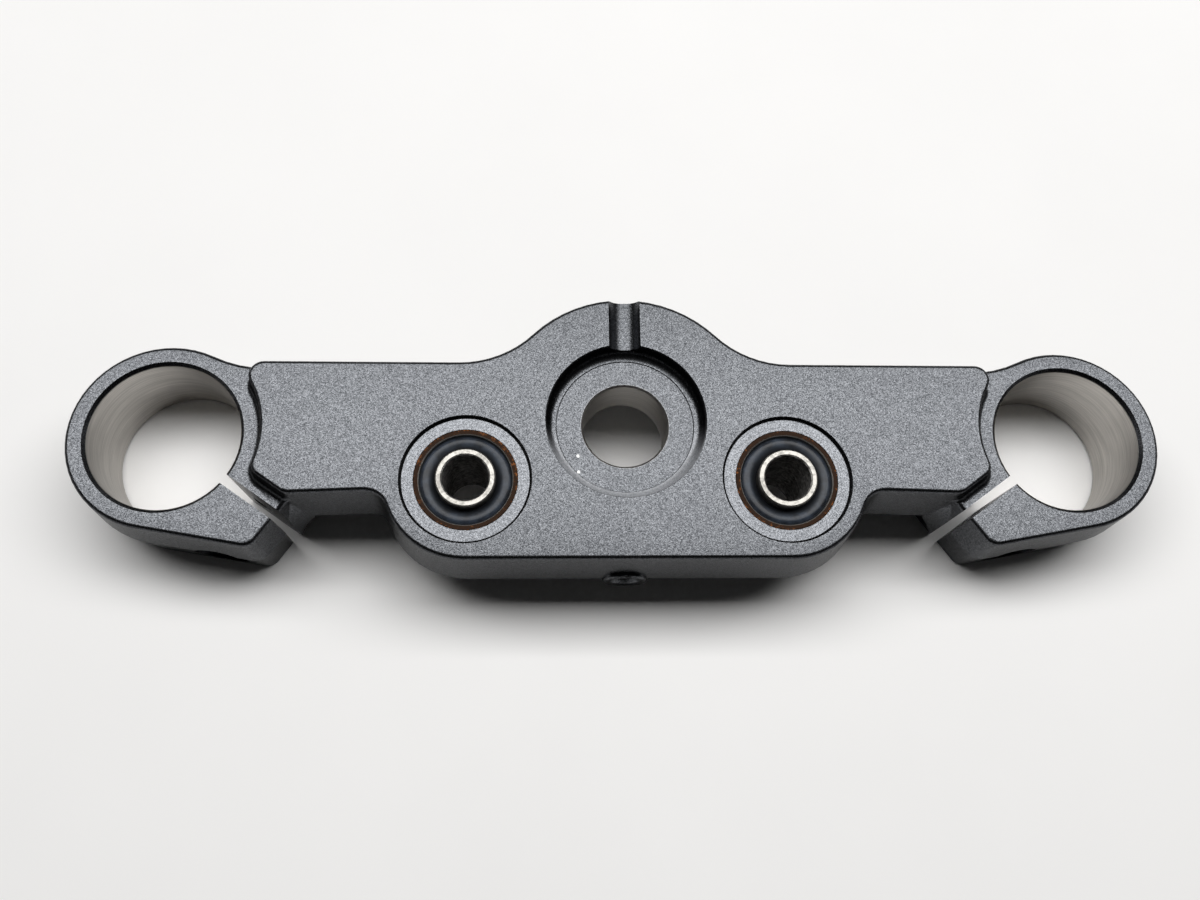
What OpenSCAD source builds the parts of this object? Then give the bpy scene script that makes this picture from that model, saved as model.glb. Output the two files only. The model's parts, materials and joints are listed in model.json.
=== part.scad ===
// Upper triple clamp of a motorcycle front end, cast in one piece, with two rubber-bushed
// handlebar holes. Millimetres. The origin is on the steering stem's axis, on the seat of the
// stem nut. +Z points up along the stem, +X to the rider's right and +Y back to the rider.

/* [Fork clamps] */
// Bore for the fork tube
fork_d = 41; // [35:0.5:43]
// Distance between the two fork tubes' axes
fork_spacing = 250; // [244:1:262]
// How far the fork axes lie in front of the stem axis
fork_offset = 3.2; // [0:0.2:6]
// Wall of the clamp ring round the bore
ring_wall = 5.5; // [4.5:0.25:7]
// Height of the clamp rings
clamp_h = 28; // [26:0.5:34]
// Chamfer at both mouths of the fork bore
bore_chamfer = 1; // [0.4:0.1:1.5]

/* [Pinch lugs] */
// Width of the slit through each clamp
slit_w = 2.9; // [1.5:0.1:4]
// Angle of the slit to the line across the clamps
slit_angle = 35; // [32:1:38]
// Distance from the fork axis to the end wall of the lugs
lug_end = 38.6; // [37.5:0.2:41]
// Heading of the front wall of the front lug
ear_angle = 10; // [6:1:14]
// How far the threaded lug reaches behind the slit's middle
lug_rear = 15; // [12:0.5:17]
// Distance from the fork axis to the pinch bolt's axis
pinch_reach = 27.8; // [26.5:0.2:29]
// Height of the pinch bolt's axis over the clamp's underside
pinch_z = 10.3; // [8.5:0.1:12]
// Seat for the pinch bolt's head
pinch_seat_d = 14; // [12:0.5:15]
// Distance from the slit's middle to the bolt head's seat
pinch_seat_n = 8.7; // [6:0.1:10]
// Clearance hole of the pinch bolt
pinch_hole_d = 9; // [8.2:0.1:9.5]
// Core of the pinch bolt's thread
pinch_thread_d = 6.8; // [6:0.1:8]

/* [Plate] */
// Height of the plate's top over the clamps' top
deck_step = 6; // [4.5:0.5:9]
// Height of the parting line over the clamps' underside
parting_h = 15; // [12:0.5:18]
// Draft of the cast walls, in degrees
draft = 5; // [2:0.5:6]
// Rounding of the top edges
edge_r = 1.1; // [0.5:0.1:1.5]
// Fillet at the foot of the step round the clamps
foot_r = 2; // [1:0.1:2.5]
// Front wall of the middle block, in front of the stem axis
block_front = 38.6; // [37.8:0.2:41]
// Rounding of the block round each bush
block_r = 21.9; // [21:0.1:23]
// Fillet between the block and the arm's front wall
blend_r = 6.3; // [5:0.1:9]
// Arm's front wall, in front of the stem axis, halfway along the arm
arm_front = 20.65; // [20:0.05:21.5]
// How far the arm widens towards the clamp, in degrees
arm_taper = 2; // [0:0.5:3]
// Arm's rear wall, behind the stem axis
arm_rear = 16.6; // [15.5:0.1:17.5]
// Radius of the round back behind the stem
hump_r = 35.85; // [34.5:0.05:38]
// Fillet between the round back and the arm
hump_blend = 28.5; // [20:0.5:34]
// Radius of the step round each clamp
side_r = 27; // [26:0.1:28]
// Distance from the slit's middle to the step beside it
strip_w = 5.2; // [4.6:0.1:6]
// Rear wall of the bridge from the arm to the clamp ring, behind the stem axis
bridge_rear = 16.9; // [16:0.1:17.2]
// Fillet between that bridge and the clamp ring
bridge_r = 35; // [28:1:42]

/* [Stem] */
// Recess round the stem nut
recess_d = 43.5; // [41:0.5:44]
// Depth of that recess, from the plate's top to the nut's seat
seat_depth = 5.8; // [3.5:0.1:7]
// Fillet round the recess floor
recess_fillet = 2.6; // [1:0.1:3]
// Bore for the steering stem
stem_d = 23.4; // [19:0.2:27]
// Length of the stem bore below the seat
stem_len = 15.7; // [14:0.1:18]
// Boss round the stem bore
stem_boss_d = 38; // [35:0.5:40]
// Groove from the recess to the back of the plate
groove_d = 9; // [5:0.5:11]
// Height of the groove's axis over the plate's top
groove_rise = 1; // [0:0.1:2]

/* [Handlebar bushes] */
// Distance between the two bushes
bush_spacing = 86.2; // [84:0.2:90]
// How far the bushes lie in front of the stem axis
bush_offset = 16.7; // [15.5:0.1:17.5]
// Bore for the bush
bush_d = 27.9; // [24:0.1:29]
// Machined face round the bush
face_d = 34.8; // [31:0.2:36]
// Depth of that face below the plate's top
face_depth = 1.2; // [0.5:0.1:2]
// Wall of the bush's outer steel sleeve
shell_t = 1.5; // [1:0.1:2]
// Length of the outer sleeve
shell_len = 25.1; // [20:0.1:26]
// Outside of the inner steel sleeve
core_d = 16.06; // [14:0.02:18]
// Bore of the inner sleeve
core_bore_d = 12.5; // [10:0.1:13]
// How far the inner sleeve stands over the machined face
core_rise = 1.9; // [0.5:0.1:3]
// How far the inner sleeve stands out below the outer one
core_drop = 2.2; // [0.5:0.1:3]
// Outside of the housing below the plate
housing_d = 37; // [34:0.5:40]
// Depth of the housing, from the plate's top
housing_h = 26.5; // [25.5:0.1:27]

/* [Front boss] */
// Boss for the lamp bracket's screw
front_boss_d = 12.4; // [11:0.2:14]
// Face of the boss, in front of the stem axis
front_boss_y = 41; // [41:0.1:43]
// Depth of the boss's axis below the plate's top
front_boss_drop = 19; // [17:0.1:19.5]
// Core of its thread
front_thread_d = 6.8; // [5:0.1:8]
// Depth of the threaded hole
front_thread_l = 18; // [12:0.5:20]

/* [Underside] */
// Thickness of the plate over the pockets
deck_t = 8.5; // [7.5:0.1:10]
// Walls round the pockets
rim_t = 5; // [4:0.1:6]
// Ribs across the pockets
rib_t = 3.5; // [2.5:0.1:5]
// How far the ribs stay above the parting line
rib_lift = 3; // [1:0.1:5]

/* [Hidden] */
$fn = 72;

// Colours
coating = [0.30, 0.31, 0.33];
rusty_steel = [0.42, 0.29, 0.20];
black_rubber = [0.07, 0.07, 0.08];
zinc = [0.72, 0.73, 0.75];

// Overrun of cuts
over = 5;
// Step between the two halves of the casting at the parting line
parting_step = 0.15;
// Small edge breaks
edge_break = 0.6;
fine_break = 0.3;

// Heights
z_top = seat_depth;
z_ring = z_top - deck_step;
z_low = z_ring - clamp_h;
z_part = z_low + parting_h;
z_pocket = z_top - deck_t;
z_face = z_top - face_depth;
z_shell = z_face - shell_len;

// Places seen from above, for the right side
fork = [fork_spacing / 2, -fork_offset];
bush = [bush_spacing / 2, -bush_offset];
ring_r = fork_d / 2 + ring_wall;
slit_dir = 180 + slit_angle;
cross_dir = slit_angle - 90;

// Plane geometry. A line is [point, heading], and a positive shift moves it to its right,
// which is outwards on an outline that runs anticlockwise.
function unit(a) = [cos(a), sin(a)];
function bearing(v) = atan2(v[1], v[0]);
function bearing_360(v) = (bearing(v) + 360) % 360;
function shift(line, d) = [line[0] + d * unit(line[1] - 90), line[1]];
function meet(a, b) =
    let (u = unit(a[1]), v = unit(b[1]))
    a[0] + u * cross(b[0] - a[0], v) / cross(u, v);
function circle_meet(c, r, line, side) =
    let (u = unit(line[1]),
         foot = line[0] + u * ((c - line[0]) * u))
    foot + side * sqrt(r * r - (foot - c) * (foot - c)) * u;

// An outline is a list of arcs joined by straight lines. An arc is centre, radius, first and last
// bearing, +1 for convex or -1 for concave, the share of the foot fillet at both ends, and steps.
function arc(c, r, a0, a1, turn = 1, f0 = 0, f1 = 0) =
    [c, r, a0, a1, turn, f0, f1, max(1, ceil(abs(a1 - a0) / (r > 12 ? 6.5 : 13)))];
function corner(a, b, r) =
    let (c = meet(shift(a, -r), shift(b, -r)), turn = (b[1] - a[1] + 720) % 360)
    arc(c, r, a[1] - 90, a[1] - 90 + turn);
function point(p, normal) = [p - unit(normal), 1, normal, normal, 1, 0, 0, 0];
function outline(arcs, grow, foot = 0) =
    [for (a = arcs)
        for (i = [0:a[7]])
            let (t = i / max(1, a[7]),
                 share = pow(a[5] + (a[6] - a[5]) * t, 2),
                 g = a[2] + (a[3] - a[2]) * t)
            a[0] + (a[1] + a[4] * (grow + share * foot)) * unit(g)];
function both_sides(half) =
    concat(half, [for (i = [len(half) - 2:-1:1]) [-half[i][0], half[i][1]]]);

// A solid through rings of equal length, one for each height. Its ends are fans round hubs,
// and a fan is [hub, first point, last point].
module loft(rings, heights, fans) {
    n = len(rings[0]);
    last = len(rings) - 1;
    k = len(fans);
    ring_points = [for (j = [0:last]) for (p = rings[j]) [p[0], p[1], heights[j]]];
    low_hubs = [for (f = fans) [f[0][0], f[0][1], heights[0]]];
    high_hubs = [for (f = fans) [f[0][0], f[0][1], heights[last]]];
    walls = [for (j = [0:last - 1]) for (i = [0:n - 1])
        let (a = j * n + i, b = j * n + (i + 1) % n)
        each [[a, a + n, b + n], [a, b + n, b]]];
    hub = n * (last + 1);
    low_end = [for (m = [0:k - 1]) let (f = fans[m], shut = f[2] - f[1] < n)
        each concat(
            [for (i = [f[1]:f[2] - 1]) [hub + m, i % n, (i + 1) % n]],
            shut ? [[hub + m, f[2] % n, f[1] % n]] : [])];
    high_end = [for (m = [0:k - 1]) let (f = fans[m], shut = f[2] - f[1] < n)
        each concat(
            [for (i = [f[1]:f[2] - 1]) [hub + k + m, n * last + (i + 1) % n, n * last + i % n]],
            shut ? [[hub + k + m, n * last + f[1] % n, n * last + f[2] % n]] : [])];
    polyhedron(points = concat(ring_points, low_hubs, high_hubs),
               faces = concat(walls, low_end, high_end));
}

module each_side() {
    children();
    mirror([1, 0, 0]) children();
}

// The plate's right half, from the front to the back
front_line = [[0, -block_front], 0];
arm_line = [[(bush[0] + fork[0]) / 2, -arm_front], -arm_taper];
strip_line = shift([fork, slit_angle], -strip_w);
rear_line = [[0, arm_rear], 180];
tip_r = 4;
strip_corner_r = 3.5;
blend_c = circle_meet(bush, block_r + blend_r, shift(arm_line, blend_r), 1);
strip_c = circle_meet(fork, side_r + strip_corner_r, shift(strip_line, -strip_corner_r), -1);
rear_c = circle_meet(fork, side_r + tip_r, shift(rear_line, -tip_r), 1);
hump_c = circle_meet([0, 0], hump_r + hump_blend, shift(rear_line, hump_blend), -1);
tip_c = meet(shift(arm_line, -tip_r), shift(strip_line, -tip_r));
plate_arcs = [
    point([0, -block_front], -90),
    arc(bush, block_r, -90, bearing(blend_c - bush)),
    arc(blend_c, blend_r, bearing_360(bush - blend_c), 90 - arm_taper, -1),
    arc(tip_c, tip_r, -90 - arm_taper, cross_dir, 1, 0, 1),
    arc(strip_c, strip_corner_r, cross_dir, bearing(fork - strip_c), 1, 1, 1),
    arc(fork, side_r, bearing_360(strip_c - fork), bearing_360(rear_c - fork), -1, 1, 1),
    arc(rear_c, tip_r, bearing(fork - rear_c), 90, 1, 1, 0),
    arc(hump_c, hump_blend, 270, bearing_360(-hump_c), -1),
    arc([0, 0], hump_r, bearing(hump_c), 90)];

// The clamp's upper half with its bridge to the arm, and its lower half with both lugs
lug_line = [fork + lug_end * unit(slit_dir), cross_dir];
ear_line = [fork + ring_r * unit(ear_angle - 90), ear_angle];
lug_back_line = [fork - lug_rear * unit(cross_dir), slit_dir];
bridge_line = [[0, bridge_rear], 180];
ear_r = 4;
lug_blend = 5;
bridge_c = circle_meet(fork, ring_r + bridge_r, shift(bridge_line, bridge_r), 1);
lug_c = circle_meet(fork, ring_r + lug_blend, shift(lug_back_line, lug_blend), 1);
// Points inside the plate where the upper half ends
inner_x = fork[0] - 30;
inner_y = -8;
inner_n = -8;
ring_arcs = [
    corner(lug_line, ear_line, ear_r),
    arc(fork, ring_r, ear_angle - 90, bearing(bridge_c - fork)),
    arc(bridge_c, bridge_r, bearing(fork - bridge_c), -90, -1),
    point([inner_x, bridge_rear], 90),
    point([inner_x, bridge_rear - 4], 180),
    point([inner_x, inner_y], 180),
    point(lug_line[0] + inner_n * unit(cross_dir), slit_dir)];
lug_arcs = [
    corner(lug_line, ear_line, ear_r),
    arc(fork, ring_r, ear_angle - 90, bearing_360(lug_c - fork)),
    arc(lug_c, lug_blend, bearing(fork - lug_c), cross_dir, -1),
    corner(lug_back_line, lug_line, ear_r)];

// Levels of a rounded top edge, and the growth of a drafted wall below it: [height, growth, foot]
function top_edge(z, r) = [for (a = [0:22.5:90]) [z - r + r * sin(a), r * cos(a) - r, 0]];
function grown(z, z_wall) = (z_wall - z) * tan(draft);

// The foot fillet starts past the level of the clamp's top, so that its last facet crosses it
module plate_body() {
    wall = z_top - edge_r;
    break_h = edge_break;
    a_end = 67.5;
    dip = foot_r * (1 - sin(a_end));
    reach = foot_r * (1 + cos(a_end));
    foot = [for (a = [a_end:-22.5:0])
        let (z = z_ring + foot_r - foot_r * sin(a)) [z, grown(z, wall), foot_r * (1 - cos(a))]];
    levels = concat(
        [[z_part, grown(z_part, wall) - break_h, 0],
         [z_part + break_h, grown(z_part + break_h, wall), 0],
         [z_ring - dip - 1, grown(z_ring - dip - 1, wall), 0],
         [z_ring - dip, grown(z_ring - dip, wall), reach]],
        foot, top_edge(z_top, edge_r));
    half = len(outline(plate_arcs, 0));
    hub = [bush[0] + 2, bush[1] + 14.7];
    loft([for (v = levels) both_sides(outline(plate_arcs, v[1], v[2]))], [for (v = levels) v[0]],
         [[hub, 0, half - 1], [[-hub[0], hub[1]], half - 1, 2 * half - 2]]);
}

lug_hub = fork + 20 * unit(slit_dir);

module clamp_top() {
    wall = z_ring - edge_r;
    low = z_part - 0.2;
    levels = concat([[low, grown(low, wall)]], top_edge(z_ring, edge_r));
    rings = [for (v = levels) outline(ring_arcs, v[1])];
    loft(rings, [for (v = levels) v[0]], [[lug_hub, 0, len(rings[0])]]);
}

// The lower half drafts the other way, and its upper end lies inside the plate
module clamp_foot() {
    widest = grown(z_part, z_ring - edge_r) - parting_step;
    levels = [
        [z_low, widest - parting_h * tan(draft) - edge_break],
        [z_low + edge_break, widest - (parting_h - edge_break) * tan(draft)],
        [z_part, widest],
        [z_part + 0.5, -0.5],
        [z_ring - 1, -0.5]];
    rings = [for (v = levels) outline(lug_arcs, v[1])];
    loft(rings, [for (v = levels) v[0]], [[lug_hub, 0, len(rings[0])]]);
}

// Pockets of the underside, open downwards
module pocket(points) {
    translate([0, 0, z_part - over]) linear_extrude(z_pocket - z_part + over) polygon(points);
}

module pockets() {
    r = 3;
    wall_r = housing_d / 2 + 3.5;
    arm_back = [[0, arm_rear - rim_t], 180];
    arm_fore = shift(arm_line, -rim_t);
    arm_end = [[fork[0] - side_r - 6, 0], 90];
    arm_in = [[bush[0] + 6, 0], -90];
    low_c = circle_meet(bush, wall_r + r, shift(arm_fore, -r), 1);
    high_c = circle_meet(bush, wall_r + r, shift(arm_in, -r), -1);
    arm_arcs = [
        corner(arm_fore, arm_end, r),
        corner(arm_end, arm_back, r),
        corner(arm_back, arm_in, r),
        arc(high_c, r, 180, bearing(bush - high_c) + 360),
        arc(bush, wall_r, bearing(high_c - bush), bearing(low_c - bush), -1),
        arc(low_c, r, bearing_360(bush - low_c), 270 - arm_taper)];

    back_out = hump_r - rim_t;
    back_in = stem_boss_d / 2 + 4;
    side = 27;
    middle = asin((rib_t / 2 + r) / (back_out - r));
    lip = asin((rib_t / 2 + r) / (back_in + r));
    back_arcs = [
        arc((back_out - r) * unit(side), r, side - 90, side),
        arc([0, 0], back_out, side, 90 - middle),
        arc((back_out - r) * unit(90 - middle), r, 90 - middle, 180),
        arc((back_in + r) * unit(90 - lip), r, 180, 270 - lip),
        arc([0, 0], back_in, 90 - lip, side, -1),
        arc((back_in + r) * unit(side), r, 180 + side, 270 + side)];

    fore = [[0, -block_front + rim_t], 0];
    fore_side = [[bush[0] - wall_r + 1, 0], 90];
    fore_in = stem_boss_d / 2 + 4;
    fore_c = circle_meet([0, 0], fore_in + r, shift(fore_side, -r), -1);
    fore_half = [
        point([0, -block_front + rim_t], -90),
        corner(fore, fore_side, r),
        arc(fore_c, r, 0, bearing(-fore_c)),
        arc([0, 0], fore_in, bearing(fore_c), -90, -1)];

    each_side() {
        pocket(outline(arm_arcs, 0));
        pocket(outline(back_arcs, 0));
    }
    pocket(both_sides(outline(fore_half, 0)));
}

module ribs() {
    low = z_part + rib_lift;
    x = (bush[0] + fork[0]) / 2 - 6;
    each_side()
        translate([x - rib_t / 2, -arm_front + 1, low])
            cube([rib_t, arm_front + arm_rear - 2, z_pocket - low + 1]);
}

// Places a shape of the lugs: +X runs across the slit to the front, at the pinch bolt's place
module at_pinch() {
    p = fork + pinch_reach * unit(slit_dir);
    translate([p[0], p[1], z_low + pinch_z]) rotate([0, 0, cross_dir]) children();
}

module fork_bore() {
    r = fork_d / 2;
    c = bore_chamfer;
    translate([fork[0], fork[1], 0]) {
        translate([0, 0, z_low - over]) cylinder(r = r, h = clamp_h + 2 * over);
        translate([0, 0, z_ring - c]) cylinder(r1 = r, r2 = r + c + over, h = c + over);
        translate([0, 0, z_low - over]) cylinder(r1 = r + c + over, r2 = r, h = c + over);
    }
}

module slit() {
    translate([fork[0], fork[1], z_low - over])
        rotate([0, 0, slit_dir])
            translate([0, -slit_w / 2, 0]) cube([lug_end + over, slit_w, clamp_h + 2 * over]);
}

module pinch_holes() {
    at_pinch() {
        translate([pinch_seat_n, 0, 0]) rotate([0, 90, 0]) cylinder(d = pinch_seat_d, h = 20);
        rotate([0, 90, 0]) cylinder(d = pinch_hole_d, h = 20);
        translate([-lug_rear - over, 0, 0]) rotate([0, 90, 0])
            cylinder(d = pinch_thread_d, h = lug_rear + over);
    }
}

// Stem nut's recess: a machined floor, a fillet up to the wall, and a broken top edge
module stem_recess() {
    r = recess_d / 2;
    f = recess_fillet;
    floor_r = r - f - 0.2;
    curve = [for (a = [0:11.25:90]) [r - f + f * sin(a), fine_break + f - f * cos(a)]];
    rotate_extrude()
        polygon(concat([[0, 0], [floor_r, 0]], curve,
            [[r, z_top - fine_break], [r + fine_break, z_top],
             [r + fine_break, z_top + over], [0, z_top + over]]));
}

module stem_bore() {
    r = stem_d / 2;
    c = 0.5;
    translate([0, 0, -stem_len - over]) cylinder(r = r, h = stem_len + 2 * over);
    translate([0, 0, -c]) cylinder(r1 = r, r2 = r + c, h = c);
    translate([0, 0, -stem_len]) cylinder(r1 = r + c, r2 = r, h = c);
}

module groove() {
    translate([0, recess_d / 2 - 2, z_top + groove_rise]) rotate([-90, 0, 0])
        cylinder(d = groove_d, h = hump_r);
}

module bush_holes() {
    c = 0.4;
    r = face_d / 2;
    each_side() translate([bush[0], bush[1], 0]) {
        translate([0, 0, z_top - housing_h - over])
            cylinder(d = bush_d, h = housing_h + 2 * over);
        translate([0, 0, z_face]) cylinder(r1 = r - c, r2 = r, h = c);
        translate([0, 0, z_face + c]) cylinder(r = r, h = over);
        translate([0, 0, z_top - fine_break]) cylinder(r1 = r, r2 = r + fine_break, h = fine_break);
    }
}

module bosses() {
    translate([0, 0, -stem_len])
        cylinder(d1 = stem_boss_d, d2 = stem_boss_d + 3, h = stem_len + z_pocket + 1);
    each_side() translate([bush[0], bush[1], z_top - housing_h])
        cylinder(d = housing_d, h = housing_h - deck_t + 1);
}

module front_boss() {
    c = 0.5;
    l = front_boss_y - stem_boss_d / 2 + 2;
    translate([0, -front_boss_y, z_top - front_boss_drop]) rotate([-90, 0, 0]) {
        cylinder(d1 = front_boss_d - 2 * c, d2 = front_boss_d, h = c);
        translate([0, 0, c]) cylinder(d = front_boss_d, h = l - c);
    }
}

module front_thread() {
    sink = 1.35;
    translate([0, -front_boss_y, z_top - front_boss_drop]) rotate([-90, 0, 0]) {
        translate([0, 0, -over]) cylinder(d = front_thread_d, h = front_thread_l + over);
        translate([0, 0, -1])
            cylinder(d1 = front_thread_d + 2 * sink + 2, d2 = front_thread_d, h = sink + 1);
    }
}

module yoke() {
    color(coating)
        difference() {
            union() {
                difference() {
                    plate_body();
                    pockets();
                }
                ribs();
                bosses();
                front_boss();
                each_side() {
                    clamp_top();
                    clamp_foot();
                }
            }
            each_side() {
                fork_bore();
                slit();
                pinch_holes();
            }
            stem_recess();
            stem_bore();
            groove();
            bush_holes();
            front_thread();
        }
}

// A bush is pressed into the bore with its outer sleeve flush with the machined face
module outer_sleeve() {
    c = fine_break;
    r = bush_d / 2;
    in = r - shell_t;
    color(rusty_steel)
        translate([bush[0], bush[1], 0])
            rotate_extrude()
                polygon([[in, z_shell + c], [in + c, z_shell], [r - c, z_shell], [r, z_shell + c],
                         [r, z_face - c], [r - c, z_face], [in + c, z_face], [in, z_face - c]]);
}

module rubber() {
    out = bush_d / 2 - shell_t;
    in = core_d / 2;
    lip = 0.5;
    slope = 1.8;
    trough = out - 0.55;
    crest = out - 1.45;
    z0 = z_shell;
    color(black_rubber)
        translate([bush[0], bush[1], 0])
            rotate_extrude()
                polygon([[in, z0 + slope], [crest, z0 + lip + 0.1], [trough, z0 + lip + 0.4],
                         [out, z0 + lip], [out, z_face - lip], [trough, z_face - lip - 0.4],
                         [crest, z_face - lip - 0.1], [in, z_face - slope]]);
}

module inner_sleeve() {
    c = 0.35;
    r = core_d / 2;
    in = core_bore_d / 2;
    low = z_shell - core_drop;
    high = z_face + core_rise;
    color(zinc)
        translate([bush[0], bush[1], 0])
            rotate_extrude()
                polygon([[in, low + c], [in + c, low], [r - c, low], [r, low + c],
                         [r, high - c], [r - c, high], [in + c, high], [in, high - c]]);
}

module left() {
    mirror([1, 0, 0]) children();
}

yoke();
left() outer_sleeve();  // left_bush_outer_sleeve
outer_sleeve();  // right_bush_outer_sleeve
left() rubber();  // left_bush_rubber
rubber();  // right_bush_rubber
left() inner_sleeve();  // left_bush_inner_sleeve
inner_sleeve();  // right_bush_inner_sleeve
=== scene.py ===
"""Looks of a cast triple clamp with rubber-bushed handlebar holes, lying on a pale floor."""

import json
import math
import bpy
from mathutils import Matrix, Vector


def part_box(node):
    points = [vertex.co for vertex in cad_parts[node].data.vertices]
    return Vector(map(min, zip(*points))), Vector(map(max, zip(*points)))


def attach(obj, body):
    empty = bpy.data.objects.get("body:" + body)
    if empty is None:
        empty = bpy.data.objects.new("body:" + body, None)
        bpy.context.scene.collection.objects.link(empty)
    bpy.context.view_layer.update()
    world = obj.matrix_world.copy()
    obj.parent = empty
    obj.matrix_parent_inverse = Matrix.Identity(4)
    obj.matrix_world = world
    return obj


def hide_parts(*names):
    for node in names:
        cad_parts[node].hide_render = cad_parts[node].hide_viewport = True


bl_info = {
    "name": "Triple Clamp Looks",
    "version": (1, 0, 0),
    "blender": (4, 5, 0),
    "location": "View3D > Sidebar > Clamp",
    "description": "Dresses the cast clamp plate, its bushes and a small studio round them",
    "category": "Object",
}

import bpy
from bpy.props import FloatProperty, FloatVectorProperty, PointerProperty
from mathutils import Matrix, Vector

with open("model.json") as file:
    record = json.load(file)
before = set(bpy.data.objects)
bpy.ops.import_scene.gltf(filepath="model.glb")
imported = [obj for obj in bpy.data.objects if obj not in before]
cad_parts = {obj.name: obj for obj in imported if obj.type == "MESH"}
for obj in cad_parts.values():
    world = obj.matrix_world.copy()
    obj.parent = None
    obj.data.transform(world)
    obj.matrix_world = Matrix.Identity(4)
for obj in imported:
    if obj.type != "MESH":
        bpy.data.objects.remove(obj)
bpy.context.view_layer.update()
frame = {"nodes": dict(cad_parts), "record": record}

MM = 0.001
MOUNTS = {m["name"]: m for m in frame["record"]["mounts"]}
PHOTO_WIDTH = 1200
BACKDROP = (0.92, 0.915, 0.905)
# Half width of the change from one finish to the next
BLUR = 0.08 * MM

# Slots of the record that the new pieces take
YOKE_SLOT = "coated_casting"
RUBBER_SLOT = "bush_rubber"

# Machined faces of the casting: outer radius, and the height that they stay under
BUSH_FACE_R = 17.0 * MM
BUSH_FACE_TOP = 4.9 * MM
SEAT_R = 18.9 * MM
SEAT_TOP = 0.3 * MM
# Wall of the stem nut's recess
RECESS_R = 21.95 * MM
# Places and radii of the small nicks in the coating of the stem nut's seat
NICKS = [((-13.05 * MM, -8.71 * MM), 0.42 * MM), ((-12.95 * MM, -13.27 * MM), 0.40 * MM)]
# Seat of the pinch bolt's head: its radius, and how far it starts from the clearance hole's middle
BOLT_SEAT_R = 7.15 * MM
BOLT_SEAT_START = 3.4 * MM
# Face of the boss for the front screw
SCREW_FACE_R = 5.6 * MM
SCREW_FACE_Y = -40.6 * MM
# End of the outer sleeve: its bright inner edge, and where its rust is thickest
SLEEVE_RIM_R = 12.64 * MM
SLEEVE_RUST_R = 13.45 * MM

# Fillet between the right arm's front and the rear lug: its axis, radius and the angles of its ends
FILLET_AXIS = (85.47 * MM, -30.90 * MM)
FILLET_R = 9.7 * MM
FILLET_ARM_ANGLE = 88
FILLET_LUG_ANGLE = 35
# Heights where the fillet's lower edge meets the arm and the lug
FILLET_ARM_FOOT = -13.4 * MM
FILLET_LUG_FOOT = -28.4 * MM
# Direction and half width of the clamp's slit
SLIT_ANGLE = 35.0
SLIT_HALF = 1.45 * MM


def mount_place(name):
    """Where a mount's axis is, in metres."""
    return Vector(MOUNTS[name]["pos_m"])


def mount_radius(name):
    """A mount's radius, in metres."""
    return MOUNTS[name]["dims"]["r_mm"] * MM


FORK = mount_place("right_fork_clamp")
FORK_R = mount_radius("right_fork_clamp")
STEM = mount_place("stem_bore")
STEM_R = mount_radius("stem_bore")
BUSH = mount_place("right_handlebar_bush")
CORE_BORE_R = mount_radius("right_handlebar_bush")
PINCH = mount_place("right_pinch_clearance")
PINCH_AXIS = Vector(MOUNTS["right_pinch_clearance"]["axis"])
SCREW = mount_place("front_screw_hole")


# Shader maths


class Sock:
    """A node socket. Arithmetic on it adds Math nodes, and node() adds any other node."""

    def __init__(self, tree, socket=None):
        self.tree = tree
        self.socket = socket

    def node(self, kind, settings=None, inputs=None, out=0):
        """Adds a node: its settings first, then the values or links of its sockets."""
        made = self.tree.nodes.new(kind)
        for key, value in (settings or {}).items():
            setattr(made, key, value)
        for key, value in (inputs or {}).items():
            if isinstance(value, Sock):
                self.tree.links.new(value.socket, made.inputs[key])
            else:
                made.inputs[key].default_value = value
        return Sock(self.tree, made.outputs[out])

    def math(self, operation, *others):
        return self.node("ShaderNodeMath", {"operation": operation}, dict(enumerate((self, *others))))

    def __add__(self, other):
        return self.math("ADD", other)

    def __radd__(self, other):
        return self.math("ADD", other)

    def __sub__(self, other):
        return self.math("SUBTRACT", other)

    def __rsub__(self, other):
        return (self * -1.0).math("ADD", other)

    def __mul__(self, other):
        return self.math("MULTIPLY", other)

    def __rmul__(self, other):
        return self.math("MULTIPLY", other)

    def __abs__(self):
        return self.math("ABSOLUTE")

    def capped(self):
        """Self, and 1 where it is more."""
        return self.math("MINIMUM", 1.0)

    def step(self, low, high):
        """0 below low and 1 above high, with a smooth change between them."""
        return self.node(
            "ShaderNodeMapRange",
            {"interpolation_type": "SMOOTHSTEP"},
            {"Value": self, "From Min": low, "From Max": high},
        )

    def mix(self, a, b):
        """Colour a where self is 0 and colour b where it is 1."""
        return self.node("ShaderNodeMix", {"data_type": "RGBA"}, {0: self, 6: a, 7: b}, out=2)

    def noise(self, scale, detail=2.0, roughness=0.5, stretch=None):
        """Noise on self as coordinates, in cycles a metre."""
        place = self
        if stretch:
            place = self.node("ShaderNodeVectorMath", {"operation": "MULTIPLY"}, {0: self, 1: stretch})
        return place.node(
            "ShaderNodeTexNoise",
            None,
            {"Vector": place, "Scale": scale, "Detail": detail, "Roughness": roughness},
        )

    def rings(self, scale, detail):
        """Noise along self alone, which gives turned rings where self is a radius."""
        return self.node(
            "ShaderNodeTexNoise",
            {"noise_dimensions": "1D"},
            {"W": self, "Scale": scale, "Detail": detail},
        )

    def cells(self, scale):
        """A random number for each cell of the coordinates, in cells a metre."""
        tint = self.node("ShaderNodeTexVoronoi", None, {"Vector": self, "Scale": scale}, out="Color")
        return tint.axis(0, kind="ShaderNodeSeparateColor")

    def axis(self, index, kind="ShaderNodeSeparateXYZ"):
        """One of the numbers that a vector or a colour holds."""
        return self.node(kind, None, {0: self}, out=index)

    def bump(self, strength, distance):
        """A bump of self as height, for a Normal socket."""
        return self.node(
            "ShaderNodeBump",
            None,
            {"Strength": strength, "Distance": distance, "Height": self},
            out="Normal",
        )


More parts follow.
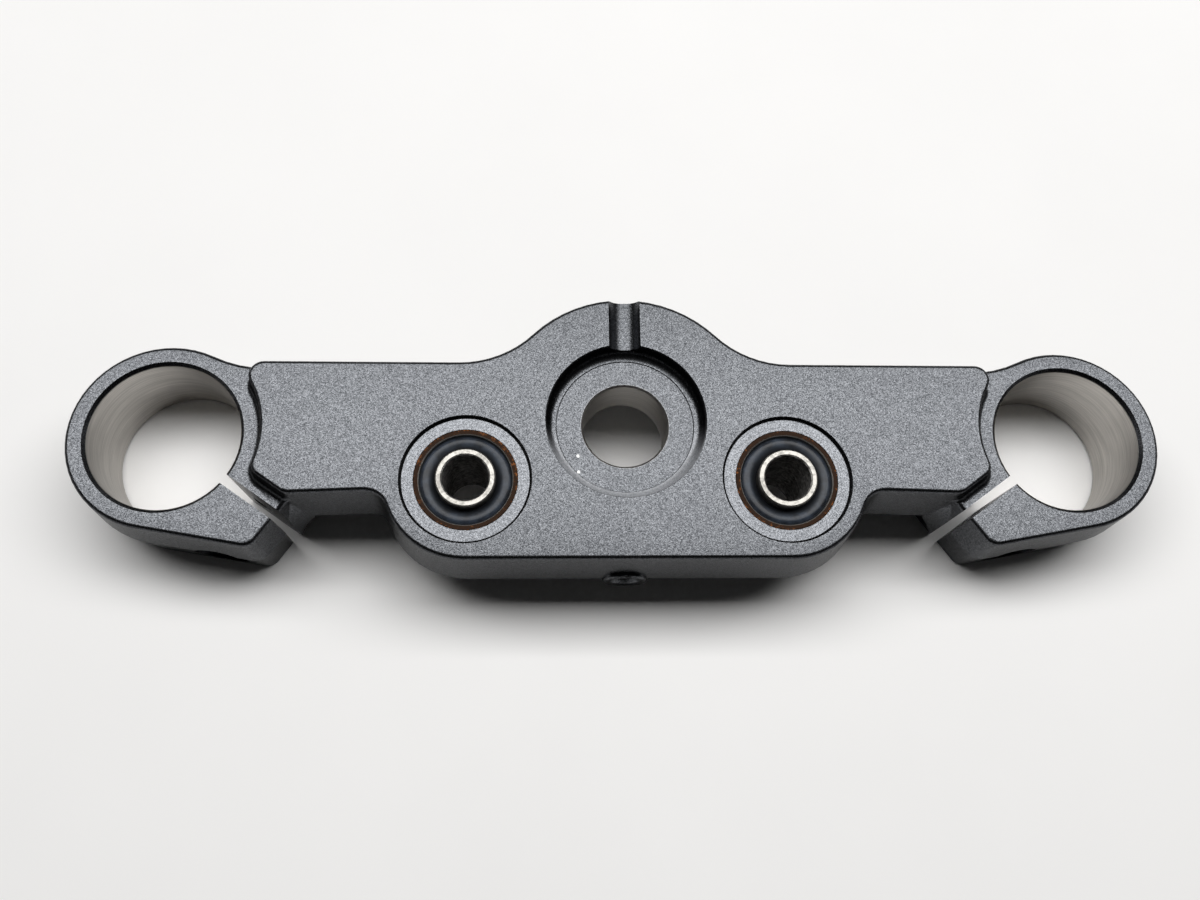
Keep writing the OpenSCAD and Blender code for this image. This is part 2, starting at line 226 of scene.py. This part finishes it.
def colour(rgb, share=1.0):
    """A colour socket's value: a share of a colour."""
    return (*(v * share for v in rgb), 1.0)


def new_material(name):
    """An empty material, its surface shader and a socket with Object coordinates."""
    material = bpy.data.materials.new(name)
    material.use_nodes = True
    tree = material.node_tree
    shader = tree.nodes["Principled BSDF"]
    place = Sock(tree).node("ShaderNodeTexCoord", out="Object")
    return material, shader, place


def feed(shader, **inputs):
    """Links or sets sockets of the surface shader, with _ for a blank in a name."""
    for name, value in inputs.items():
        socket = shader.inputs[name.replace("_", " ")]
        if isinstance(value, Sock):
            value.tree.links.new(value.socket, socket)
        else:
            socket.default_value = value


def radius(a, b, centre):
    """Distance from an axis that is square to the two coordinates."""
    da = a - centre[0]
    db = b - centre[1]
    return (da * da + db * db).math("SQRT")


def inside(value, limit, blur=BLUR):
    """1 where value is under limit."""
    return 1.0 - value.step(limit - blur, limit + blur)


# Sizes and colours that a user would change


class ClampCoating(bpy.types.PropertyGroup):
    """Finish of the casting."""

    dark: FloatVectorProperty(
        name="Coating, dark",
        description="Colour of the coating between its metal flakes",
        default=(0.0245, 0.026, 0.0285),
        subtype="COLOR",
        size=3,
    )
    flake: FloatVectorProperty(
        name="Coating, flakes",
        description="Colour of the coating's metal flakes",
        default=(0.116, 0.120, 0.1275),
        subtype="COLOR",
        size=3,
    )
    bare: FloatVectorProperty(
        name="Bare metal",
        description="Colour of the machined aluminium in the bores",
        default=(0.64, 0.615, 0.58),
        subtype="COLOR",
        size=3,
    )
    flake_size: FloatProperty(
        name="Flake size",
        description="Width of one metal flake in the coating",
        default=0.00017,
        min=0.0001,
        max=0.002,
        unit="LENGTH",
    )
    edge: FloatProperty(
        name="Edge break",
        description="Width of the small rounding on machined edges",
        default=0.00012,
        min=0.0,
        max=0.001,
        unit="LENGTH",
    )


class ClampBush(bpy.types.PropertyGroup):
    """Finish of the bushes."""

    steel: FloatVectorProperty(
        name="Sleeve steel",
        description="Colour of the plated inner sleeves",
        default=(0.42, 0.405, 0.375),
        subtype="COLOR",
        size=3,
    )
    rust: FloatVectorProperty(
        name="Rust",
        description="Colour of the rust on the outer sleeves",
        default=(0.30, 0.105, 0.03),
        subtype="COLOR",
        size=3,
    )
    rubber: FloatVectorProperty(
        name="Rubber",
        description="Colour of the bush rubber",
        default=(0.0125, 0.0165, 0.0235),
        subtype="COLOR",
        size=3,
    )


class ClampStage(bpy.types.PropertyGroup):
    """Floor, light and camera."""

    floor: FloatVectorProperty(
        name="Floor",
        description="Colour of the floor",
        default=(0.90, 0.892, 0.88),
        subtype="COLOR",
        size=3,
    )
    key_power: FloatProperty(
        name="Key light",
        description="Power of the soft light above and behind",
        default=18.5,
        min=0.0,
        unit="POWER",
    )
    sky: FloatProperty(
        name="Room light",
        description="Strength of the light from all round",
        default=0.03,
        min=0.0,
    )
    camera: FloatVectorProperty(
        name="Camera",
        description="Place of the camera",
        default=(-0.02195, -0.09671, 0.27762),
        subtype="TRANSLATION",
        unit="LENGTH",
        size=3,
    )
    pitch: FloatProperty(
        name="Pitch",
        description="Tilt of the camera from looking straight down",
        default=math.radians(17.89),
        subtype="ANGLE",
    )
    yaw: FloatProperty(
        name="Yaw",
        description="Turn of the camera about the Y axis",
        default=math.radians(-3.08),
        subtype="ANGLE",
    )
    roll: FloatProperty(
        name="Roll",
        description="Turn of the camera about its own axis",
        default=math.radians(-0.77),
        subtype="ANGLE",
    )
    focal: FloatProperty(
        name="Focal length",
        description="Focal length in pixels of the photograph's width",
        default=1066.05,
        min=100.0,
    )


# Materials


def bolt_seat(side, y, z):
    """1 inside the counterbore for the pinch bolt's head, where shade is painted: the coating there is
    darkened.
    """
    dx = side - PINCH.x
    dy = y - PINCH.y
    dz = z - PINCH.z
    along = dx * PINCH_AXIS.x + dy * PINCH_AXIS.y
    off = dx * PINCH_AXIS.y - dy * PINCH_AXIS.x
    r = (off * off + dz * dz).math("SQRT")
    start = along.step(BOLT_SEAT_START - 0.1 * MM, BOLT_SEAT_START + 0.1 * MM)
    return inside(r, BOLT_SEAT_R, 0.05 * MM) * start


def screw_face(x, y, z):
    """1 on the face of the boss for the front screw, where shade is painted: the coating there is
    darkened.
    """
    return inside(radius(x, z, (SCREW.x, SCREW.z)), SCREW_FACE_R, 0.4 * MM) * inside(
        y, SCREW_FACE_Y, 0.1 * MM
    )


def near_fillet_highlight(stem_r, y):
    """1 on the fillet at the near side of the stem nut's recess, fading towards its ends, where a
    highlight is painted.
    """
    foot = stem_r.step(SEAT_R, SEAT_R + 0.6 * MM)
    near = 1.0 - y.step(-11.0 * MM, 1.0 * MM)
    return inside(stem_r, RECESS_R) * foot * near


def seat_nicks(x, y, z):
    """1 in the nicks of the stem nut's seat."""
    return sum(inside(radius(x, y, spot), size) for spot, size in NICKS) * inside(abs(z), SEAT_TOP)


def coated_casting(look):
    """Fine metallic coating, with bare turned aluminium in the fork and stem bores."""
    material, shader, place = new_material(YOKE_SLOT)
    x = place.axis(0)
    y = place.axis(1)
    z = place.axis(2)
    side = abs(x)
    fork_r = radius(side, y, FORK)
    bush_r = radius(side, y, BUSH)
    stem_r = radius(x, y, STEM)

    flakes = place.cells(1.0 / look.flake_size)
    coarse = place.cells(0.6 / look.flake_size)
    cloud = place.noise(60.0, 3.0)
    grain = place.noise(2600.0, 2.0)
    tone = flakes * 0.55 + coarse * 0.25 + grain * 0.15 + cloud * 0.05
    sparkle = tone.step(0.15, 0.95)
    paint = sparkle.mix(colour(look.dark), colour(look.flake))

    # Coated bush faces, with the turned rings of the cut under their coating
    bush_face = inside(bush_r, BUSH_FACE_R) * inside(z, BUSH_FACE_TOP)
    turned_face = (tone * 0.8 + (bush_face * bush_r).rings(2400.0, 3.0) * 0.3).step(0.15, 0.95)
    face = turned_face.mix(colour(look.dark, 1.02), colour(look.flake, 1.14))
    coat = bush_face.mix(paint, face)

    # Painted shade in the seats of the bolts and the screw: the coating there is darkened
    painted_seat_shade = (bolt_seat(side, y, z) + screw_face(x, y, z)).capped()
    coat = painted_seat_shade.mix(coat, colour(look.dark, 0.3))
    # Painted highlight on the fillet at the recess's near side: a lighter grey that is not metallic
    painted_fillet_highlight = near_fillet_highlight(stem_r, y)
    coat = painted_fillet_highlight.mix(coat, sparkle.mix(colour((0.17, 0.176, 0.187)), colour((0.34, 0.35, 0.37))))
    nicks = seat_nicks(x, y, z)

    # Bare bores, turned in fine rings
    bare_fork = inside(fork_r, FORK_R + 0.12 * MM)
    bare_stem = inside(stem_r, STEM_R + 0.6 * MM) * inside(z, -0.05 * MM)
    bare = (bare_fork + bare_stem).capped()
    turned = place.noise(1.0, 3.0, 0.6, stretch=(30.0, 30.0, 2600.0))
    streak = place.noise(1.0, 2.0, 0.5, stretch=(90.0, 90.0, 500.0))
    polish = (turned * 0.6 + streak * 0.4).step(0.2, 0.8) * (1.0 - bare_stem * 0.3)
    metal = polish.mix(colour(look.bare, 0.55), colour(look.bare))

    coat_rough = 0.34 - flakes * 0.08 - bush_face * 0.06
    height = bare * turned * 0.6 + (1.0 - bare) * (grain * 0.6 + flakes * 0.4)
    feed(
        shader,
        Base_Color=nicks.mix(bare.mix(coat, metal), colour((0.85, 0.85, 0.83))),
        Metallic=1.0 - (nicks + painted_fillet_highlight).capped(),
        Roughness=(1.0 - bare) * coat_rough + bare * (0.26 + streak * 0.22),
        Specular_Tint=colour((0.72, 0.72, 0.72)),
        Normal=height.bump(0.35, 0.04 * MM),
    )
    return material


def plated_steel(look):
    """Zinc-plated inner sleeve: bright mottled end, stained and rough bore."""
    material, shader, place = new_material("zinc_steel")
    r = radius(abs(place.axis(0)), place.axis(1), BUSH)
    bore = inside(r, CORE_BORE_R + 0.12 * MM)
    spots = place.noise(900.0, 4.0, 0.7)
    stains = place.noise(260.0, 5.0, 0.65)
    mottle = (stains * 0.5 + spots * 0.5).step(0.40, 0.58)
    end = mottle.mix(colour(look.steel, 0.35), colour(look.steel, 0.75))
    rough_bore = spots.step(0.35, 0.75).mix(colour((0.05, 0.045, 0.042)), colour((0.45, 0.44, 0.43)))
    height = spots * (0.2 + bore * 0.8)
    feed(
        shader,
        Base_Color=bore.mix(end, rough_bore),
        Metallic=1.0 - bore * 0.35,
        Roughness=0.30 + stains * 0.18 + bore * 0.14,
        Normal=height.bump(0.8, 0.16 * MM),
    )
    return material


def rusty_steel(look):
    """Outer sleeve: dark steel with orange rust, and a bright inner edge."""
    material, shader, place = new_material("rusty_steel")
    r = radius(abs(place.axis(0)), place.axis(1), BUSH)
    spots = place.noise(900.0, 4.0, 0.7)
    patches = place.noise(150.0, 3.0, 0.6)
    edge = 1.0 - inside(r, SLEEVE_RUST_R, 0.3 * MM)
    rust = (spots * 0.7 + patches * 0.3 + edge * 0.06).step(0.55, 0.71)
    worn = rust.mix(colour((0.030, 0.0145, 0.0075)), colour(look.rust))
    rim = inside(r, SLEEVE_RIM_R, 0.06 * MM) * spots.step(0.25, 0.42)
    feed(
        shader,
        Base_Color=rim.mix(worn, colour((0.62, 0.60, 0.56))),
        Metallic=rim,
        Roughness=0.75 - rim * 0.40,
        Specular_IOR_Level=0.12,
        Normal=spots.bump(0.6, 0.08 * MM),
    )
    return material


def bush_rubber(look):
    """Glossy black rubber with a painted bluish sheen on its swell, and darker and matt by the sleeve."""
    material, shader, place = new_material(RUBBER_SLOT)
    r = radius(abs(place.axis(0)), place.axis(1), BUSH)
    swell = r.step(8.6 * MM, 10.4 * MM) * inside(r, 12.0 * MM, 0.3 * MM)
    sheen_patches = place.noise(320.0, 4.0, 0.6)
    fine = place.noise(1800.0, 2.0)
    # Painted sheen: bluish patches on the swell at three times the rubber's colour, the rest darker
    painted_sheen = sheen_patches.step(0.25, 0.85) * swell
    feed(
        shader,
        Base_Color=painted_sheen.mix(colour(look.rubber, 0.35), colour(look.rubber, 3.0)),
        Roughness=0.60 - swell * 0.26 + sheen_patches * 0.10,
        Specular_IOR_Level=0.3,
        Normal=fine.bump(0.25, 0.04 * MM),
    )
    return material


# Modelling helpers


def deselect():
    """Object mode with nothing selected."""
    if bpy.context.object and bpy.context.object.mode != "OBJECT":
        bpy.ops.object.mode_set(mode="OBJECT")
    bpy.ops.object.select_all(action="DESELECT")


def copy_of(obj, name):
    """A copy of a piece with its own mesh, selected and active."""
    deselect()
    obj.select_set(True)
    bpy.context.view_layer.objects.active = obj
    bpy.ops.object.duplicate(linked=False)
    bpy.context.object.name = name
    return bpy.context.object


def faces_outwards():
    """Turns the active piece's faces outwards."""
    bpy.ops.object.mode_set(mode="EDIT")
    bpy.ops.mesh.select_all(action="SELECT")
    bpy.ops.mesh.normals_make_consistent(inside=False)
    bpy.ops.object.mode_set(mode="OBJECT")


def dress(obj, material):
    """Gives a piece its only material."""
    obj.data.materials.clear()
    obj.data.materials.append(material)


def smooth_cad(obj, angle, width=0.0):
    """Smooth shading on a CAD node: its triangles are welded and its edges eased, live."""
    obj.data.polygons.foreach_set("use_smooth", [True] * len(obj.data.polygons))
    weld = obj.modifiers.new("Weld", "WELD")
    weld.merge_threshold = 0.002 * MM
    if width:
        bevel = obj.modifiers.new("Ease", "BEVEL")
        bevel.width = width
        bevel.segments = 2
        bevel.limit_method = "ANGLE"
        bevel.angle_limit = math.radians(35)
        bevel.use_clamp_overlap = True
    split = obj.modifiers.new("Creases", "EDGE_SPLIT")
    split.split_angle = angle
    flats = obj.modifiers.new("Flats", "WEIGHTED_NORMAL")
    flats.weight = 100


def turned_ring(name, centre, profile, steps):
    """A closed ring of revolution through the profile's (radius, height) points."""
    deselect()
    r, z = profile[0]
    bpy.ops.mesh.primitive_circle_add(
        vertices=steps, radius=r, fill_type="NOTHING", location=(centre[0], centre[1], z)
    )
    ring = bpy.context.object
    ring.name = name
    bpy.ops.object.mode_set(mode="EDIT")
    for new_r, new_z in profile[1:]:
        bpy.ops.mesh.extrude_region_move(
            TRANSFORM_OT_translate={"value": (0.0, 0.0, new_z - z)}
        )
        bpy.ops.transform.resize(
            value=(new_r / r, new_r / r, 1.0), center_override=(centre[0], centre[1], new_z)
        )
        r, z = new_r, new_z
    bpy.ops.mesh.select_all(action="DESELECT")
    bpy.ops.mesh.select_non_manifold()
    bpy.ops.mesh.bridge_edge_loops()
    faces_outwards()
    bpy.ops.object.transform_apply(location=True, rotation=True, scale=True)
    bpy.ops.object.shade_smooth_by_angle(angle=math.radians(40))
    return ring


# Pieces


class CLAMP_OT_casting(bpy.types.Operator):
    """Coat the casting and leave its bores bare"""

    bl_idname = "clamp.casting"
    bl_label = "Casting"

    def execute(self, context):
        look = context.scene.clamp_coating
        yoke = frame["nodes"]["yoke"]
        dress(yoke, coated_casting(look))
        smooth_cad(yoke, math.radians(28), look.edge)
        return {"FINISHED"}


def fillet_profile():
    """Section of the fillet's wall about its own axis: full below, and fading into the corner above."""
    low = -28.0 * MM
    back = FILLET_R + 2.3 * MM
    # Heights, and how far the wall stands out from the fillet's radius at each
    wall = ((-13.2, -1.04), (-8.5, -0.45), (-5.2, 0.25), (-3.2, 0.95), (-1.9, 1.7))
    section = [(back, low), (FILLET_R + wall[0][1] * MM, low)]
    section += [(FILLET_R + out * MM, z * MM) for z, out in wall]
    section.append((back, -1.7 * MM))
    return section


def keep_inside(planes):
    """Cuts the active piece by planes of a point and an outward normal, and closes each cut."""
    bpy.ops.object.mode_set(mode="EDIT")
    for point, outward in planes:
        bpy.ops.mesh.select_all(action="SELECT")
        bpy.ops.mesh.bisect(plane_co=point, plane_no=outward, use_fill=True, clear_outer=True)
    faces_outwards()


def towards(angle):
    """Unit vector of a direction in the plan, in degrees."""
    a = math.radians(angle)
    return Vector((math.cos(a), math.sin(a), 0.0))


def fillet_planes():
    """Ends of the fillet at both walls, the slit's face, and its slanting lower edge."""
    axis = Vector((*FILLET_AXIS, 0.0))
    slit_normal = towards(SLIT_ANGLE - 90.0)
    slit_face = Vector((FORK.x, FORK.y, 0.0)) - slit_normal * SLIT_HALF
    arm_foot = axis + towards(FILLET_ARM_ANGLE) * FILLET_R
    lug_foot = axis + towards(FILLET_LUG_ANGLE) * FILLET_R
    arm_foot.z = FILLET_ARM_FOOT
    lug_foot.z = FILLET_LUG_FOOT
    along = lug_foot - arm_foot
    level = Vector((along.y, -along.x, 0.0))
    down = along.cross(level).normalized()
    if down.z > 0.0:
        down = -down
    return (
        (axis, towards(FILLET_LUG_ANGLE - 90)),
        (axis, towards(FILLET_ARM_ANGLE + 90)),
        (slit_face, slit_normal),
        (arm_foot, down),
    )


class CLAMP_OT_fillets(bpy.types.Operator):
    """Model the fillets between the arms and the clamps' rear lugs"""

    bl_idname = "clamp.fillets"
    bl_label = "Lug fillets"

    def execute(self, context):
        right = turned_ring("right_lug_fillet", FILLET_AXIS, fillet_profile(), 160)
        keep_inside(fillet_planes())
        bpy.ops.object.shade_smooth_by_angle(angle=math.radians(40))
        dress(right, frame["nodes"]["yoke"].data.materials[0])
        left = copy_of(right, "left_lug_fillet")
        bpy.ops.transform.resize(value=(-1.0, 1.0, 1.0), center_override=(0.0, 0.0, 0.0))
        bpy.ops.object.transform_apply(location=True, rotation=True, scale=True)
        faces_outwards()
        for fillet in (right, left):
            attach(fillet, "root")
        return {"FINISHED"}


class CLAMP_OT_sleeves(bpy.types.Operator):
    """Finish the steel sleeves of both bushes"""

    bl_idname = "clamp.sleeves"
    bl_label = "Bush sleeves"

    def execute(self, context):
        look = context.scene.clamp_bush
        for name, material in (("inner_sleeve", plated_steel(look)), ("outer_sleeve", rusty_steel(look))):
            for side in ("left", "right"):
                node = frame["nodes"][f"{side}_bush_{name}"]
                dress(node, material)
                smooth_cad(node, math.radians(30))
        return {"FINISHED"}


def rubber_profile(low, high, r_in, r_out):
    """Section of a moulded bush: bonded to both sleeves, with a lip, a trough and a swell."""
    lip = 0.15 * MM
    swell = 0.35 * MM
    groove = 0.35 * MM
    dish = 1.1 * MM
    # Shares of the rubber's width: where the swell ends, and where the groove lies
    swell_end = 0.86
    groove_from, groove_to = 0.84, 0.95
    steps = 10
    top = []
    for i in range(steps + 1):
        t = i / steps
        r = r_in + (r_out - r_in) * t
        rise = swell * math.sin(math.pi * t / swell_end) if t < swell_end else 0.0
        drop = (1.0 - t) ** 2 * dish + (groove if groove_from < t < groove_to else 0.0)
        top.append((r, high - lip - drop + rise))
    bottom = [(r, low + high - z) for r, z in reversed(top)]
    return top + bottom


class CLAMP_OT_rubbers(bpy.types.Operator):
    """Model the moulded rubber of both bushes"""

    bl_idname = "clamp.rubbers"
    bl_label = "Bush rubbers"

    def execute(self, context):
        low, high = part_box("left_bush_rubber")
        core_low, core_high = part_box("left_bush_inner_sleeve")
        r_in = (core_high.x - core_low.x) / 2
        r_out = (high.x - low.x) / 2
        profile = rubber_profile(low.z, high.z, r_in, r_out)
        left = turned_ring("left_moulded_rubber", (low + high) / 2, profile, 96)
        dress(left, bush_rubber(context.scene.clamp_bush))
        right = copy_of(left, "right_moulded_rubber")
        bpy.ops.transform.translate(value=(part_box("right_bush_rubber")[0].x - low.x, 0.0, 0.0))
        bpy.ops.object.transform_apply(location=True, rotation=True, scale=True)
        for side, ring in (("left", left), ("right", right)):
            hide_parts(f"{side}_bush_rubber")
            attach(ring, "root")
        return {"FINISHED"}


# Stage


def area_light(name, place, aim, size, power):
    """A soft rectangular light aimed at a point."""
    data = bpy.data.lights.new(name, "AREA")
    data.shape = "RECTANGLE"
    data.size, data.size_y = size
    data.energy = power
    light = bpy.data.objects.new(name, data)
    light.location = place
    light.rotation_euler = (Vector(aim) - Vector(place)).to_track_quat("-Z", "Y").to_euler()
    bpy.context.scene.collection.objects.link(light)


def background_rays(start):
    """1 for camera and transmission rays, and 1 for glossy rays, as two sockets."""
    camera = start.node("ShaderNodeLightPath", out="Is Camera Ray")
    transmission = start.node("ShaderNodeLightPath", out="Is Transmission Ray")
    glossy = start.node("ShaderNodeLightPath", out="Is Glossy Ray")
    return camera + transmission, glossy


def room_world(strength):
    """A pale backdrop round the table, in a dim room that is brightest overhead."""
    world = bpy.context.scene.world or bpy.data.worlds.new("Room")
    bpy.context.scene.world = world
    world.use_nodes = True
    tree = world.node_tree
    tree.nodes.clear()
    start = Sock(tree)
    up = start.node("ShaderNodeTexCoord", out="Generated").axis(2)
    glow = up.step(0.2, 1.0).mix(colour((0.10, 0.10, 0.11)), colour((1.0, 1.0, 1.0)))
    room = start.node("ShaderNodeBackground", None, {"Color": glow, "Strength": strength})
    pale = start.node("ShaderNodeBackground", None, {"Color": colour(BACKDROP), "Strength": 1.0})
    straight, glossy = background_rays(start)
    seen = (straight + glossy * (1.0 - up.step(0.05, 0.14))).capped()
    both = start.node("ShaderNodeMixShader", None, {0: seen, 1: room, 2: pale})
    end = tree.nodes.new("ShaderNodeOutputWorld")
    tree.links.new(both.socket, end.inputs["Surface"])


def photo_camera(stage):
    """The camera at the photograph's place and angle."""
    data = bpy.data.cameras.new("camera")
    data.sensor_fit = "HORIZONTAL"
    data.sensor_width = 36.0
    data.lens = stage.focal / PHOTO_WIDTH * data.sensor_width
    camera = bpy.data.objects.new("camera", data)
    turn = (
        Matrix.Rotation(stage.yaw, 4, "Y")
        @ Matrix.Rotation(stage.pitch, 4, "X")
        @ Matrix.Rotation(stage.roll, 4, "Z")
    )
    camera.matrix_world = Matrix.Translation(stage.camera) @ turn
    bpy.context.scene.collection.objects.link(camera)
    bpy.context.scene.camera = camera


def floor_material(rgb):
    """Matt table top that runs out into the backdrop away from the object."""
    material, shader, place = new_material("floor")
    mottle = place.noise(9.0, 4.0, 0.6).step(0.3, 0.7)
    feed(shader, Base_Color=mottle.mix(colour(rgb, 0.98), colour(rgb)), Roughness=0.85)
    straight, glossy = background_rays(place)
    away = radius(place.axis(0), place.axis(1), (0.0, 0.0)).step(0.34, 0.85)
    pale = place.node("ShaderNodeEmission", None, {"Color": colour(BACKDROP), "Strength": 1.0})
    tree = material.node_tree
    plain = Sock(tree, shader.outputs["BSDF"])
    seen = away * (straight + glossy).capped()
    both = place.node("ShaderNodeMixShader", None, {0: seen, 1: plain, 2: pale})
    tree.links.new(both.socket, tree.nodes["Material Output"].inputs["Surface"])
    return material


class CLAMP_OT_stage(bpy.types.Operator):
    """Build the floor, the soft light and the camera"""

    bl_idname = "clamp.stage"
    bl_label = "Stage"

    def execute(self, context):
        stage = context.scene.clamp_stage
        floor_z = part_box("yoke")[0].z
        deselect()
        bpy.ops.mesh.primitive_plane_add(size=6.0, location=(0.0, 0.0, floor_z))
        floor = context.object
        floor.name = "floor"
        dress(floor, floor_material(stage.floor))
        area_light("key", (0.08, 0.34, 1.0), (0.08, 0.0, 0.0), (2.0, 0.46), stage.key_power)
        room_world(stage.sky)
        photo_camera(stage)
        context.scene.view_settings.view_transform = "Standard"
        return {"FINISHED"}


class CLAMP_PT_panel(bpy.types.Panel):
    """Steps of the clamp's looks"""

    bl_idname = "CLAMP_PT_panel"
    bl_label = "Triple Clamp"
    bl_space_type = "VIEW_3D"
    bl_region_type = "UI"
    bl_category = "Clamp"

    def draw(self, context):
        for step in STEPS:
            self.layout.operator(step.bl_idname)
        for name, group in GROUPS.items():
            box = self.layout.box()
            for field in group.__annotations__:
                box.prop(getattr(context.scene, name), field)


GROUPS = {
    "clamp_coating": ClampCoating,
    "clamp_bush": ClampBush,
    "clamp_stage": ClampStage,
}
STEPS = (CLAMP_OT_stage, CLAMP_OT_casting, CLAMP_OT_fillets, CLAMP_OT_sleeves, CLAMP_OT_rubbers)


def register():
    for group in GROUPS.values():
        bpy.utils.register_class(group)
    for kind in (*STEPS, CLAMP_PT_panel):
        bpy.utils.register_class(kind)
    for name, group in GROUPS.items():
        setattr(bpy.types.Scene, name, PointerProperty(type=group))


def unregister():
    for name in GROUPS:
        delattr(bpy.types.Scene, name)
    for kind in (CLAMP_PT_panel, *reversed(STEPS)):
        bpy.utils.unregister_class(kind)
    for group in reversed(list(GROUPS.values())):
        bpy.utils.unregister_class(group)


def main():
    """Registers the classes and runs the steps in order."""
    register()
    bpy.ops.clamp.stage()
    bpy.ops.clamp.casting()
    bpy.ops.clamp.fillets()
    bpy.ops.clamp.sleeves()
    bpy.ops.clamp.rubbers()


if __name__ == "__main__":
    main()
